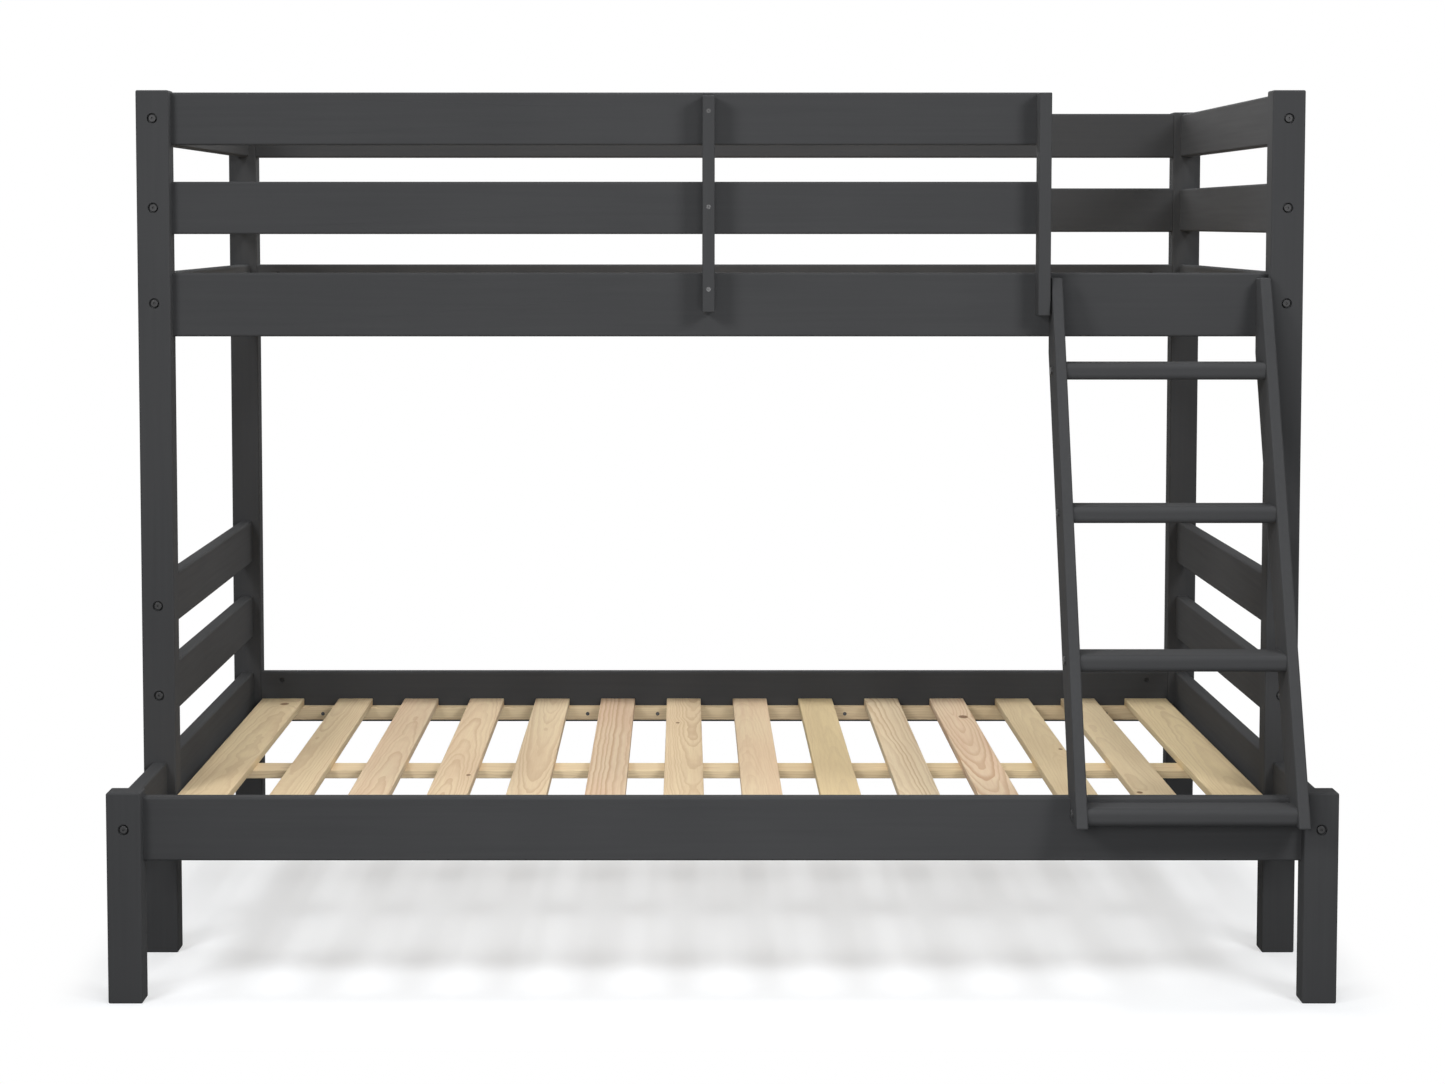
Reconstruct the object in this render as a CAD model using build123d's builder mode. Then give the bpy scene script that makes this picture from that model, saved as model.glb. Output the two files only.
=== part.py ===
from build123d import *
from math import atan, pi, radians, tan
import os

# Timber bunk bed: a single berth over a small double, with a leaning ladder.
# Millimetres. +X runs along the bed to the ladder end, the front faces -Y and +Z is up.
# The origin is on the floor, under the middle of the whole bed with its ladder.

# Driving sizes of the frame
bed_length = 1990
post_width = 56
post_depth = 45
post_top_rise = 3
leg_top_rise = 11
lower_berth_width = 1215
upper_berth_width = 904
under_bed_height = 230
between_berths_height = 734
post_round = 3

# Side rails, guard rails and end rails
rail_thickness = 25
rail_round = 4
lower_rail_height = 104
upper_rail_height = 109
guard_height = 89.5
first_guard_gap = 66.5
next_guard_gap = 62.5
end_rail_height = 86
first_backrest_gap = 72.5
next_backrest_gap = 69.5

# Uprights that carry the front guard rails
upright_width = 21
upright_depth = 42
upright_round = 2
middle_upright_x = -20.5
middle_upright_top_drop = 7
end_upright_top_drop = 2
middle_upright_tail = 66
end_upright_tail = 72

# Ladder
stile_thickness = 19
stile_depth = 88
stile_round = 3
stile_top_drop = 8
stile_top_width = 32.6
stile_heel = 1.5
stile_toe_drop = 37
ladder_post_gap = 1.5
ladder_guard_gap = 2.5
tread_length = 336
tread_depth = 76
tread_thickness = 28
tread_round = 10
tread_count = 4
top_tread_drop = 150.5
bottom_tread_drop = 6

# Slats, battens and the strip under the wide berth's slats
slat_thickness = 14.5
slat_width = 70
slat_round = 1.5
slat_count = 14
first_slat_gap = 72
last_slat_gap = 62
end_slat_width = 87
slat_end_gap = 1
slat_post_gap = 2
batten_width = 30
batten_height = 25
batten_round = 1
batten_drop = 70
strip_width = 70
strip_thickness = 15
strip_offset = -32.5
strip_inset = 7

# Bolts, barrel nuts and dowels
bolt_radius = 3
bolt_head_radius = 6.5
bolt_head_height = 3.5
bolt_head_round = 1
bolt_socket_size = 4
bolt_socket_sides = 6
bolt_socket_depth = 2
bolt_clearance = 0.5
bolt_tail = 8
bolt_end_gap = 0.5
bolt_seat_radius = 9
bolt_seat_depth = 5
bolt_rise = 3
side_bolt_spread = 35
guard_bolt_drop = 30
nut_inset = 43
nut_radius = 4.9
nut_length = 15
nut_clearance = 0.1
nut_thread_clearance = 0.05
nut_slot_width = 1.6
nut_slot_depth = 1.5
dowel_radius = 4
dowel_length = 40
dowel_clearance = 0.05
dowel_end_gap = 0.5
rod_chamfer = 0.6
end_dowel_spread = 17
guard_dowel_rise = 25

# Wood screws
screw_radius = 1.8
screw_head_radius = 3.8
screw_cone_angle = 82
screw_recess_radius = 1.3
screw_recess_depth = 1.6
screw_clearance = 0.05
upright_screw_length = 60
ladder_screw_length = 45
batten_screw_length = 45
strip_screw_length = 25
screw_end_gap = 0.5
upright_screw_drops = (33, 43, 27)
ladder_screw_pitch = 22
ladder_screw_drop = 20
ladder_toe_screw_drop = 29
batten_screw_shares = (-0.862, -0.279, -0.125, 0.287, 0.862)

# Places along the length
half_length = bed_length / 2
post_inner_x = half_length - post_width
post_centre_x = half_length - post_width / 2
stile_right_x = post_inner_x - ladder_post_gap
stile_left_x = stile_right_x - 2 * stile_thickness - tread_length
guard_end_x = stile_left_x - ladder_guard_gap

# Heights of the level timbers, stacked from the floor, and of the posts and legs that carry them
lower_rail_underside = under_bed_height
lower_rail_top = lower_rail_underside + lower_rail_height
upper_rail_underside = lower_rail_top + between_berths_height
upper_rail_top = upper_rail_underside + upper_rail_height
middle_guard_top = upper_rail_top + first_guard_gap + guard_height
top_guard_top = middle_guard_top + next_guard_gap + guard_height
middle_backrest_centre = lower_rail_top + first_backrest_gap + end_rail_height / 2
top_backrest_centre = middle_backrest_centre + end_rail_height + next_backrest_gap
post_height = top_guard_top + post_top_rise
leg_height = lower_rail_top + leg_top_rise
lower_rail_centre = lower_rail_underside + lower_rail_height / 2
upper_rail_centre = upper_rail_underside + upper_rail_height / 2
guard_tops = [top_guard_top, middle_guard_top]
guard_centres = [top - guard_height / 2 for top in guard_tops]
backrest_centres = [top_backrest_centre, middle_backrest_centre]
lower_batten_top = lower_rail_top - batten_drop
upper_batten_top = upper_rail_top - batten_drop
lower_slat_top = lower_batten_top + slat_thickness

# Ladder line: its back edge leaves the upper rail and lands just behind the lower one
upper_rail_setback = lower_berth_width - upper_berth_width + post_depth - rail_thickness
lower_rail_setback = post_depth - rail_thickness
stile_top = upper_rail_top - stile_top_drop
stile_run = upper_rail_setback - (lower_rail_setback + rail_thickness + stile_heel)
stile_cut_in = stile_depth - stile_top_width
stile_seat_height = stile_cut_in * (stile_top - lower_rail_top) / (stile_run + stile_cut_in)
stile_bend = stile_top - stile_seat_height
stile_lean = stile_run / (stile_bend - lower_rail_top)
stile_toe = lower_rail_top - stile_toe_drop
toe_angle = pi / 2 - atan(stile_lean)
toe_cutback = stile_round * (1 / tan(toe_angle / 2) - 1)
ladder_reach = stile_depth + stile_lean * (stile_bend - stile_toe) - upper_rail_setback - toe_cutback

# Places across the depth, with the whole bed centred on the origin
overall_depth = ladder_reach + lower_berth_width + 2 * post_depth
leg_front_y = ladder_reach - overall_depth / 2
leg_back_y = leg_front_y + post_depth
rear_inner_y = leg_back_y + lower_berth_width
rear_back_y = rear_inner_y + post_depth
front_post_back_y = rear_inner_y - upper_berth_width
front_post_y = front_post_back_y - post_depth
lower_rail_front_y = leg_back_y - rail_thickness
upper_rail_front_y = front_post_back_y - rail_thickness
rear_rail_back_y = rear_inner_y + rail_thickness
front_bolt_y = front_post_back_y - rail_thickness / 2
lower_bolt_y = leg_back_y - rail_thickness / 2
rear_bolt_y = rear_inner_y + rail_thickness / 2
end_rail_inner_x = post_centre_x - rail_thickness / 2
end_rail_outer_x = post_centre_x + rail_thickness / 2

# Lengths of the bolts under their heads
end_bolt_length = post_depth - bolt_seat_depth + nut_inset + bolt_tail
side_bolt_length = post_width - bolt_seat_depth + nut_inset + bolt_tail
tie_stud_length = post_depth + 2 * (nut_inset + bolt_tail)
ladder_bolt_length = stile_thickness + nut_inset + bolt_tail

bolt_hole_radius = bolt_radius + bolt_clearance
bolt_hole_depth = nut_inset + bolt_tail + bolt_end_gap
nut_hole_radius = nut_radius + nut_clearance
dowel_hole_radius = dowel_radius + dowel_clearance
dowel_hole_depth = dowel_length / 2 + dowel_end_gap
screw_hole_radius = screw_radius + screw_clearance
screw_seat_radius = screw_head_radius + screw_clearance
nut_thread_radius = bolt_radius + nut_thread_clearance

SIDES = {"left": -1, "right": 1}


def x_plane(x, y, z, facing):
    """A plane at the given place whose normal points along +X or -X."""
    return Plane(origin=(x, y, z), x_dir=(0, 1, 0), z_dir=(facing, 0, 0))


def y_plane(x, y, z, facing):
    """A plane at the given place whose normal points along +Y or -Y."""
    return Plane(origin=(x, y, z), x_dir=(1, 0, 0), z_dir=(0, facing, 0))


def z_plane(x, y, z, facing):
    """A plane at the given place whose normal points up or down."""
    return Plane(origin=(x, y, z), x_dir=(1, 0, 0), z_dir=(0, 0, facing))


def plain_holes(planes, radius, depth):
    """Round holes of one size, each bored into the timber from its plane."""
    return {"kind": "plain", "planes": planes, "radius": radius, "depth": depth}


def seated_holes(planes, depth):
    """Bolt holes with a round seat that sinks the head under the surface."""
    return {"kind": "seated", "planes": planes, "radius": bolt_hole_radius, "depth": depth}


def screw_holes(planes, depth):
    """Screw holes with a cone for the head."""
    return {"kind": "screw", "planes": planes, "radius": screw_hole_radius, "depth": depth}


def screw_pilots(planes, depth):
    """Narrow holes that take the ends of screws."""
    return plain_holes(planes, screw_hole_radius, depth + screw_end_gap)


def nut_holes(planes, thickness):
    """Holes that hold a barrel nut in the middle of the timber's thickness."""
    return plain_holes(planes, nut_hole_radius, (thickness + nut_length) / 2)


def dowel_sockets(planes):
    """Blind dowel holes, half a dowel deep."""
    return plain_holes(planes, dowel_hole_radius, dowel_hole_depth)


def bolt_ends(planes):
    """Holes in the end of a timber for the bolts that draw it up."""
    return plain_holes(planes, bolt_hole_radius, bolt_hole_depth)


def sunk_by(depth, planes):
    """The same places, moved into the timber by a depth."""
    return [plane.offset(-depth) for plane in planes]


def bore(holes):
    """Every hole of one group, cut from the timber being built."""
    with Locations(*holes["planes"]):
        if holes["kind"] == "seated":
            CounterBoreHole(holes["radius"], bolt_seat_radius, bolt_seat_depth, holes["depth"])
        elif holes["kind"] == "screw":
            CounterSinkHole(holes["radius"], screw_seat_radius, holes["depth"], screw_cone_angle)
        else:
            Hole(holes["radius"], holes["depth"])


def board(name, x_faces, y_faces, z_faces, eased_axis, radius, hole_groups=()):
    """A square-cut timber between three pairs of faces, with its edges eased and bored."""
    with BuildPart() as timber:
        with BuildSketch(Plane.XY.offset(z_faces[0])):
            with Locations((sum(x_faces) / 2, sum(y_faces) / 2)):
                Rectangle(x_faces[1] - x_faces[0], y_faces[1] - y_faces[0])
        extrude(amount=z_faces[1] - z_faces[0])
        eased = timber.edges() if eased_axis is None else timber.edges().filter_by(eased_axis)
        fillet(eased, radius)
        for holes in hole_groups:
            bore(holes)
    finish(timber, name)


def finish(piece, name):
    """Label a finished piece and write it to its own file."""
    piece.part.label = name
    export_step(piece.part, f"parts/{name}.step")


def mirrored_faces(low, high, side):
    """The pair of faces on the chosen side of the bed, in rising order."""
    return (low, high) if side > 0 else (-high, -low)


os.makedirs("parts", exist_ok=True)

# Bolt places, as planes on the timber's outer face under each head
bed_bolt_heights = {"lower": lower_rail_centre + bolt_rise, "upper": upper_rail_centre + bolt_rise}
upper_end_heights = guard_centres + [bed_bolt_heights["upper"]]
front_end_heights = upper_end_heights + backrest_centres
rear_end_heights = front_end_heights + [bed_bolt_heights["lower"]]
lower_side_heights = [lower_rail_centre + side_bolt_spread, lower_rail_centre - side_bolt_spread]
upper_side_heights = [upper_rail_centre + side_bolt_spread, upper_rail_centre - side_bolt_spread]
guard_bolt_heights = [centre - guard_bolt_drop for centre in guard_centres]
guard_dowel_heights = [centre + guard_dowel_rise for centre in guard_centres]


def end_dowel_heights(bolt_heights):
    """Heights of the two dowels, one above and one below each end bolt."""
    return [height + offset for height in bolt_heights for offset in (end_dowel_spread, -end_dowel_spread)]


end_bolts = []
side_bolts = []
tie_studs = []
nuts = []
dowels = []

# Four tall posts, bolted to the end rails through their depth and to the side rails through their width
for side_name, side in SIDES.items():
    x_faces = mirrored_faces(post_inner_x, half_length, side)
    post_x = side * post_centre_x
    outer_x = side * half_length
    inner_x = side * post_inner_x

    front_heads = [y_plane(post_x, front_post_y, height, -1) for height in front_end_heights]
    front_tie = [y_plane(post_x, front_post_y, bed_bolt_heights["lower"], -1)]
    front_side_heights = upper_side_heights + (guard_bolt_heights if side < 0 else [])
    front_side_heads = [x_plane(outer_x, front_bolt_y, height, side) for height in front_side_heights]
    front_rail_dowels = end_dowel_heights(front_end_heights + [bed_bolt_heights["lower"]])
    link_dowels = end_dowel_heights([bed_bolt_heights["lower"]])
    front_sockets = [y_plane(post_x, front_post_back_y, height, 1) for height in front_rail_dowels]
    link_sockets = [y_plane(post_x, front_post_y, height, -1) for height in link_dowels]
    guard_sockets = [
        x_plane(inner_x, front_bolt_y, height, -side) for height in guard_dowel_heights if side < 0
    ]
    front_groups = [
        seated_holes(front_heads, post_depth),
        plain_holes(front_tie, bolt_hole_radius, post_depth),
        seated_holes(front_side_heads, post_width),
        dowel_sockets(front_sockets + link_sockets + guard_sockets),
    ]
    board(
        f"front_post_{side_name}", x_faces, (front_post_y, front_post_back_y), (0, post_height),
        None, post_round, front_groups,
    )

    rear_heads = [y_plane(post_x, rear_back_y, height, 1) for height in rear_end_heights]
    rear_side_heights = lower_side_heights + upper_side_heights + guard_bolt_heights
    rear_side_heads = [x_plane(outer_x, rear_bolt_y, height, side) for height in rear_side_heights]
    rear_sockets = [
        y_plane(post_x, rear_inner_y, height, -1) for height in end_dowel_heights(rear_end_heights)
    ]
    rear_guard_sockets = [x_plane(inner_x, rear_bolt_y, height, -side) for height in guard_dowel_heights]
    rear_groups = [
        seated_holes(rear_heads, post_depth),
        seated_holes(rear_side_heads, post_width),
        dowel_sockets(rear_sockets + rear_guard_sockets),
    ]
    board(
        f"rear_post_{side_name}", x_faces, (rear_inner_y, rear_back_y), (0, post_height),
        None, post_round, rear_groups,
    )

    # Short leg under the wide berth's front corner
    leg_head = [y_plane(post_x, leg_front_y, bed_bolt_heights["lower"], -1)]
    leg_side_heads = [x_plane(outer_x, lower_bolt_y, height, side) for height in lower_side_heights]
    leg_sockets = [y_plane(post_x, leg_back_y, height, 1) for height in link_dowels]
    leg_groups = [
        seated_holes(leg_head, post_depth),
        seated_holes(leg_side_heads, post_width),
        dowel_sockets(leg_sockets),
    ]
    board(
        f"front_leg_{side_name}", x_faces, (leg_front_y, leg_back_y), (0, leg_height),
        None, post_round, leg_groups,
    )

    end_bolts += front_heads + rear_heads + leg_head
    side_bolts += front_side_heads + rear_side_heads + leg_side_heads
    tie_studs += front_tie
    dowels += front_sockets + link_sockets + guard_sockets + rear_sockets + rear_guard_sockets + leg_sockets

# End rails between the posts, and the link rails that join the legs to the posts
end_rails = {
    "upper_end_rail_top": (guard_centres[0], guard_centres[0], end_rail_height),
    "upper_end_rail_middle": (guard_centres[1], guard_centres[1], end_rail_height),
    "upper_end_rail_bed": (upper_rail_centre, bed_bolt_heights["upper"], upper_rail_height),
    "lower_end_rail_top": (backrest_centres[0], backrest_centres[0], end_rail_height),
    "lower_end_rail_middle": (backrest_centres[1], backrest_centres[1], end_rail_height),
    "lower_end_rail_bed": (lower_rail_centre, bed_bolt_heights["lower"], lower_rail_height),
}
for side_name, side in SIDES.items():
    x_faces = mirrored_faces(end_rail_inner_x, end_rail_outer_x, side)
    post_x = side * post_centre_x
    outer_x = side * end_rail_outer_x
    for rail_name, (centre, bolt_height, height) in end_rails.items():
        heads = [
            y_plane(post_x, front_post_back_y, bolt_height, -1),
            y_plane(post_x, rear_inner_y, bolt_height, 1),
        ]
        rail_nuts = [
            x_plane(outer_x, front_post_back_y + nut_inset, bolt_height, side),
            x_plane(outer_x, rear_inner_y - nut_inset, bolt_height, side),
        ]
        dowel_levels = end_dowel_heights([bolt_height])
        sockets = [y_plane(post_x, front_post_back_y, level, -1) for level in dowel_levels]
        sockets += [y_plane(post_x, rear_inner_y, level, 1) for level in dowel_levels]
        board(
            f"{rail_name}_{side_name}", x_faces, (front_post_back_y, rear_inner_y),
            (centre - height / 2, centre + height / 2), Axis.Y, rail_round,
            [bolt_ends(heads), nut_holes(rail_nuts, rail_thickness), dowel_sockets(sockets)],
        )
        nuts += sunk_by(rail_thickness / 2, rail_nuts)

    bolt_height = bed_bolt_heights["lower"]
    heads = [y_plane(post_x, leg_back_y, bolt_height, -1), y_plane(post_x, front_post_y, bolt_height, 1)]
    link_nuts = [
        x_plane(outer_x, leg_back_y + nut_inset, bolt_height, side),
        x_plane(outer_x, front_post_y - nut_inset, bolt_height, side),
    ]
    dowel_levels = end_dowel_heights([bolt_height])
    sockets = [y_plane(post_x, leg_back_y, level, -1) for level in dowel_levels]
    sockets += [y_plane(post_x, front_post_y, level, 1) for level in dowel_levels]
    board(
        f"link_rail_{side_name}", x_faces, (leg_back_y, front_post_y),
        (lower_rail_underside, lower_rail_top), Axis.Y, rail_round,
        [bolt_ends(heads), nut_holes(link_nuts, rail_thickness), dowel_sockets(sockets)],
    )
    nuts += sunk_by(rail_thickness / 2, link_nuts)


def long_rail(name, x_faces, y_faces, z_faces, nut_side, bolt_levels, dowel_levels, ends, extra=()):
    """A rail along the bed, bolted at the given ends, with its nuts let in from the given side."""
    middle_y = sum(y_faces) / 2
    nut_face_y = y_faces[1] if nut_side > 0 else y_faces[0]
    heads = [x_plane(end * post_inner_x, middle_y, level, end) for end in ends for level in bolt_levels]
    rail_nuts = [
        y_plane(end * (post_inner_x - nut_inset), nut_face_y, level, nut_side)
        for end in ends for level in bolt_levels
    ]
    sockets = [x_plane(end * post_inner_x, middle_y, level, end) for end in ends for level in dowel_levels]
    groups = [bolt_ends(heads), nut_holes(rail_nuts, rail_thickness)]
    if sockets:
        groups.append(dowel_sockets(sockets))
    board(name, x_faces, y_faces, z_faces, Axis.X, rail_round, groups + list(extra))
    return sunk_by(rail_thickness / 2, rail_nuts)


# Screws along the battens, each driven through the batten into its rail
full_span = (-post_inner_x, post_inner_x)
batten_half_length = post_inner_x - slat_post_gap
batten_screw_xs = [share * batten_half_length for share in batten_screw_shares]
batten_grip = batten_screw_length - batten_width
lower_batten_level = lower_batten_top - batten_height / 2
upper_batten_level = upper_batten_top - batten_height / 2

# Ladder screws, driven from inside each side rail into the stiles
stile_centre_xs = [stile_left_x + stile_thickness / 2, stile_right_x - stile_thickness / 2]
upper_ladder_levels = [
    stile_top - ladder_screw_drop,
    stile_top - ladder_screw_drop - ladder_screw_pitch,
]
lower_ladder_levels = [lower_rail_top - ladder_toe_screw_drop]
upper_ladder_screws = [
    y_plane(x, front_post_back_y, level, 1) for x in stile_centre_xs for level in upper_ladder_levels
]
lower_ladder_screws = [
    y_plane(x, leg_back_y, level, 1) for x in stile_centre_xs for level in lower_ladder_levels
]

# Upright screws: the middle upright from its front, the end upright from behind the rails
end_upright_x = guard_end_x - upright_width / 2
upright_front_y = upper_rail_front_y - upright_depth
upright_screw_levels = [
    top - drop for top, drop in zip(guard_tops + [upper_rail_top], upright_screw_drops)
]
upright_grip = upright_screw_length - upright_depth
end_upright_grip = upright_screw_length - rail_thickness
middle_screws = [y_plane(middle_upright_x, upright_front_y, level, -1) for level in upright_screw_levels]
end_screws = [y_plane(end_upright_x, front_post_back_y, level, 1) for level in upright_screw_levels]


def batten_pilots(rail_face_y, level, facing):
    """Holes that take the ends of the batten screws in a rail's inner face."""
    planes = [y_plane(x, rail_face_y, level, facing) for x in batten_screw_xs]
    return screw_pilots(planes, batten_grip)


# Side rails of both berths
nuts += long_rail(
    "lower_side_rail_front", full_span, (lower_rail_front_y, leg_back_y),
    (lower_rail_underside, lower_rail_top), 1, lower_side_heights, [], (-1, 1),
    [batten_pilots(leg_back_y, lower_batten_level, 1), screw_holes(lower_ladder_screws, rail_thickness)],
)
nuts += long_rail(
    "lower_side_rail_rear", full_span, (rear_inner_y, rear_rail_back_y),
    (lower_rail_underside, lower_rail_top), -1, lower_side_heights, [], (-1, 1),
    [batten_pilots(rear_inner_y, lower_batten_level, -1)],
)
upright_pilots = [y_plane(middle_upright_x, upper_rail_front_y, level, -1) for level in upright_screw_levels]
nuts += long_rail(
    "upper_side_rail_front", full_span, (upper_rail_front_y, front_post_back_y),
    (upper_rail_underside, upper_rail_top), 1, upper_side_heights, [], (-1, 1),
    [
        batten_pilots(front_post_back_y, upper_batten_level, 1),
        screw_holes(upper_ladder_screws + end_screws[2:], rail_thickness),
        screw_pilots(upright_pilots[2:], upright_grip),
    ],
)
nuts += long_rail(
    "upper_side_rail_rear", full_span, (rear_inner_y, rear_rail_back_y),
    (upper_rail_underside, upper_rail_top), -1, upper_side_heights, [], (-1, 1),
    [batten_pilots(rear_inner_y, upper_batten_level, -1)],
)

# Guard rails: the front pair stops at the ladder, the rear pair runs post to post
for index, level_name in enumerate(("top", "middle")):
    z_faces = (guard_tops[index] - guard_height, guard_tops[index])
    bolt_levels = [guard_bolt_heights[index]]
    dowel_levels = [guard_dowel_heights[index]]
    here = slice(index, index + 1)
    nuts += long_rail(
        f"front_guard_rail_{level_name}", (-post_inner_x, guard_end_x),
        (upper_rail_front_y, front_post_back_y), z_faces, 1, bolt_levels, dowel_levels, (-1,),
        [screw_holes(end_screws[here], rail_thickness), screw_pilots(upright_pilots[here], upright_grip)],
    )
    nuts += long_rail(
        f"rear_guard_rail_{level_name}", full_span, (rear_inner_y, rear_rail_back_y), z_faces,
        1, bolt_levels, dowel_levels, (-1, 1),
    )

# Uprights in front of the guard rails
board(
    "guard_upright_middle",
    (middle_upright_x - upright_width / 2, middle_upright_x + upright_width / 2),
    (upright_front_y, upper_rail_front_y),
    (upper_rail_top - middle_upright_tail, top_guard_top - middle_upright_top_drop),
    None, upright_round, [screw_holes(middle_screws, upright_depth)],
)
end_pilots = [y_plane(end_upright_x, upper_rail_front_y, level, 1) for level in upright_screw_levels]
board(
    "guard_upright_end",
    (guard_end_x - upright_width, guard_end_x),
    (upright_front_y, upper_rail_front_y),
    (upper_rail_top - end_upright_tail, top_guard_top - end_upright_top_drop),
    None, upright_round, [screw_pilots(end_pilots, end_upright_grip)],
)


def stile_back_y(height):
    """Where the leaning back edge of a stile stands at a height."""
    return upper_rail_front_y - stile_lean * (stile_bend - height)


# Tread places: level boards, centred in the stiles, the lowest against the rail
bottom_tread_level = lower_rail_top - bottom_tread_drop - tread_thickness / 2
top_tread_level = upper_rail_top - top_tread_drop - tread_thickness / 2
tread_pitch = (top_tread_level - bottom_tread_level) / (tread_count - 1)
tread_margin = (stile_depth - tread_depth) / 2
tread_ys = []
tread_levels = []
for index in range(tread_count):
    level = bottom_tread_level + index * tread_pitch
    front_y = stile_back_y(level) - stile_depth + tread_margin
    back_y = front_y + tread_depth
    tread_levels.append(level)
    tread_ys.append((front_y, back_y if index else lower_rail_front_y))
tread_bolt_spots = [
    ((front_y + back_y) / 2, level) for (front_y, back_y), level in zip(tread_ys, tread_levels)
]

# Two leaning stiles, cut to sit flat on both front rails
ladder_bolts = []
for side_name, low_x, facing in (("left", stile_left_x, -1), ("right", stile_right_x - stile_thickness, 1)):
    outer_x = low_x if facing < 0 else low_x + stile_thickness
    centre_x = low_x + stile_thickness / 2
    profile = [
        (upper_rail_front_y, stile_top),
        (upper_rail_front_y, stile_bend),
        (stile_back_y(lower_rail_top), lower_rail_top),
        (lower_rail_front_y, lower_rail_top),
        (lower_rail_front_y, stile_toe),
        (stile_back_y(stile_toe) - stile_depth, stile_toe),
        (stile_back_y(stile_top) - stile_depth, stile_top),
    ]
    bolt_heads = [x_plane(outer_x, y, level, facing) for y, level in tread_bolt_spots]
    with BuildPart() as stile:
        with BuildSketch(Plane.YZ.offset(low_x)):
            with BuildLine():
                Polyline(*profile, close=True)
            make_face()
        extrude(amount=stile_thickness)
        slopes = stile.edges().filter_by(lambda edge: edge.length > stile_bend - lower_rail_top)
        toe_and_top = stile.edges().group_by(Axis.Z)
        fillet(slopes + toe_and_top[0] + toe_and_top[-1], stile_round)
        bore(plain_holes(bolt_heads, bolt_hole_radius, stile_thickness))
        pilots = [y_plane(centre_x, upper_rail_front_y, level, 1) for level in upper_ladder_levels]
        pilots += [y_plane(centre_x, lower_rail_front_y, level, 1) for level in lower_ladder_levels]
        bore(screw_pilots(pilots, ladder_screw_length - rail_thickness))
    finish(stile, f"ladder_stile_{side_name}")
    ladder_bolts += bolt_heads

# Treads between the stiles, each pulled up by a bolt and a barrel nut at both ends
tread_x_faces = (stile_left_x + stile_thickness, stile_right_x - stile_thickness)
for index, ((front_y, back_y), level) in enumerate(zip(tread_ys, tread_levels)):
    middle_y = (front_y + back_y) / 2
    underside = level - tread_thickness / 2
    heads = [x_plane(tread_x_faces[0], middle_y, level, -1), x_plane(tread_x_faces[1], middle_y, level, 1)]
    tread_nuts = [
        z_plane(tread_x_faces[0] + nut_inset, middle_y, underside, -1),
        z_plane(tread_x_faces[1] - nut_inset, middle_y, underside, -1),
    ]
    board(
        f"ladder_tread_{index + 1}", tread_x_faces, (front_y, back_y),
        (underside, underside + tread_thickness), Axis.X, tread_round,
        [bolt_ends(heads), nut_holes(tread_nuts, tread_thickness)],
    )
    nuts += sunk_by(tread_thickness / 2, tread_nuts)

# Battens screwed to the side rails
battens = {
    "lower_batten_front": (leg_back_y, 1, lower_batten_top),
    "lower_batten_rear": (rear_inner_y, -1, lower_batten_top),
    "upper_batten_front": (front_post_back_y, 1, upper_batten_top),
    "upper_batten_rear": (rear_inner_y, -1, upper_batten_top),
}
batten_screws = []
for name, (rail_y, inward, top) in battens.items():
    open_y = rail_y + inward * batten_width
    level = top - batten_height / 2
    heads = [y_plane(x, open_y, level, inward) for x in batten_screw_xs]
    board(
        name, (-batten_half_length, batten_half_length), (min(rail_y, open_y), max(rail_y, open_y)),
        (top - batten_height, top), Axis.X, batten_round, [screw_holes(heads, batten_width)],
    )
    batten_screws += heads

# Slats: a wide one at each end and a row of narrow ones between them
outer_slat_x = post_inner_x - slat_post_gap
row_half_length = outer_slat_x - end_slat_width
row_start = first_slat_gap + slat_width / 2 - row_half_length
row_stop = row_half_length - last_slat_gap - slat_width / 2
row_count = slat_count - 2
slat_pitch = (row_stop - row_start) / (row_count - 1)
row_xs = [row_start + index * slat_pitch for index in range(row_count)]
slat_spans = [(-outer_slat_x, -outer_slat_x + end_slat_width)]
slat_spans += [(x - slat_width / 2, x + slat_width / 2) for x in row_xs]
slat_spans += [(outer_slat_x - end_slat_width, outer_slat_x)]

strip_centre_y = leg_back_y + lower_berth_width / 2 + strip_offset
strip_top = lower_batten_top
strip_underside = strip_top - strip_thickness
strip_grip = strip_screw_length - strip_thickness
strip_screws = []
for index, (low_x, high_x) in enumerate(slat_spans):
    centre_x = (low_x + high_x) / 2
    strip_screws.append(z_plane(centre_x, strip_centre_y, strip_underside, -1))
    pilot = screw_pilots([z_plane(centre_x, strip_centre_y, strip_top, -1)], strip_grip)
    board(
        f"lower_slat_{index + 1:02d}", (low_x, high_x),
        (leg_back_y + slat_end_gap, rear_inner_y - slat_end_gap),
        (lower_batten_top, lower_slat_top), Axis.Y, slat_round, [pilot],
    )

board(
    "lower_slat_strip", (-outer_slat_x + strip_inset, outer_slat_x - strip_inset),
    (strip_centre_y - strip_width / 2, strip_centre_y + strip_width / 2),
    (strip_underside, strip_top), Axis.X, slat_round, [screw_holes(strip_screws, strip_thickness)],
)

# Upper slats, one group of separate boards
upper_slat_y = (front_post_back_y + rear_inner_y) / 2
with BuildPart() as upper_slats:
    for low_x, high_x in slat_spans:
        with BuildSketch(Plane.XY.offset(upper_batten_top)):
            with Locations(((low_x + high_x) / 2, upper_slat_y)):
                Rectangle(high_x - low_x, upper_berth_width - 2 * slat_end_gap)
        extrude(amount=slat_thickness)
    fillet(upper_slats.edges().filter_by(Axis.Y), slat_round)
finish(upper_slats, "upper_slats")


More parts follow.
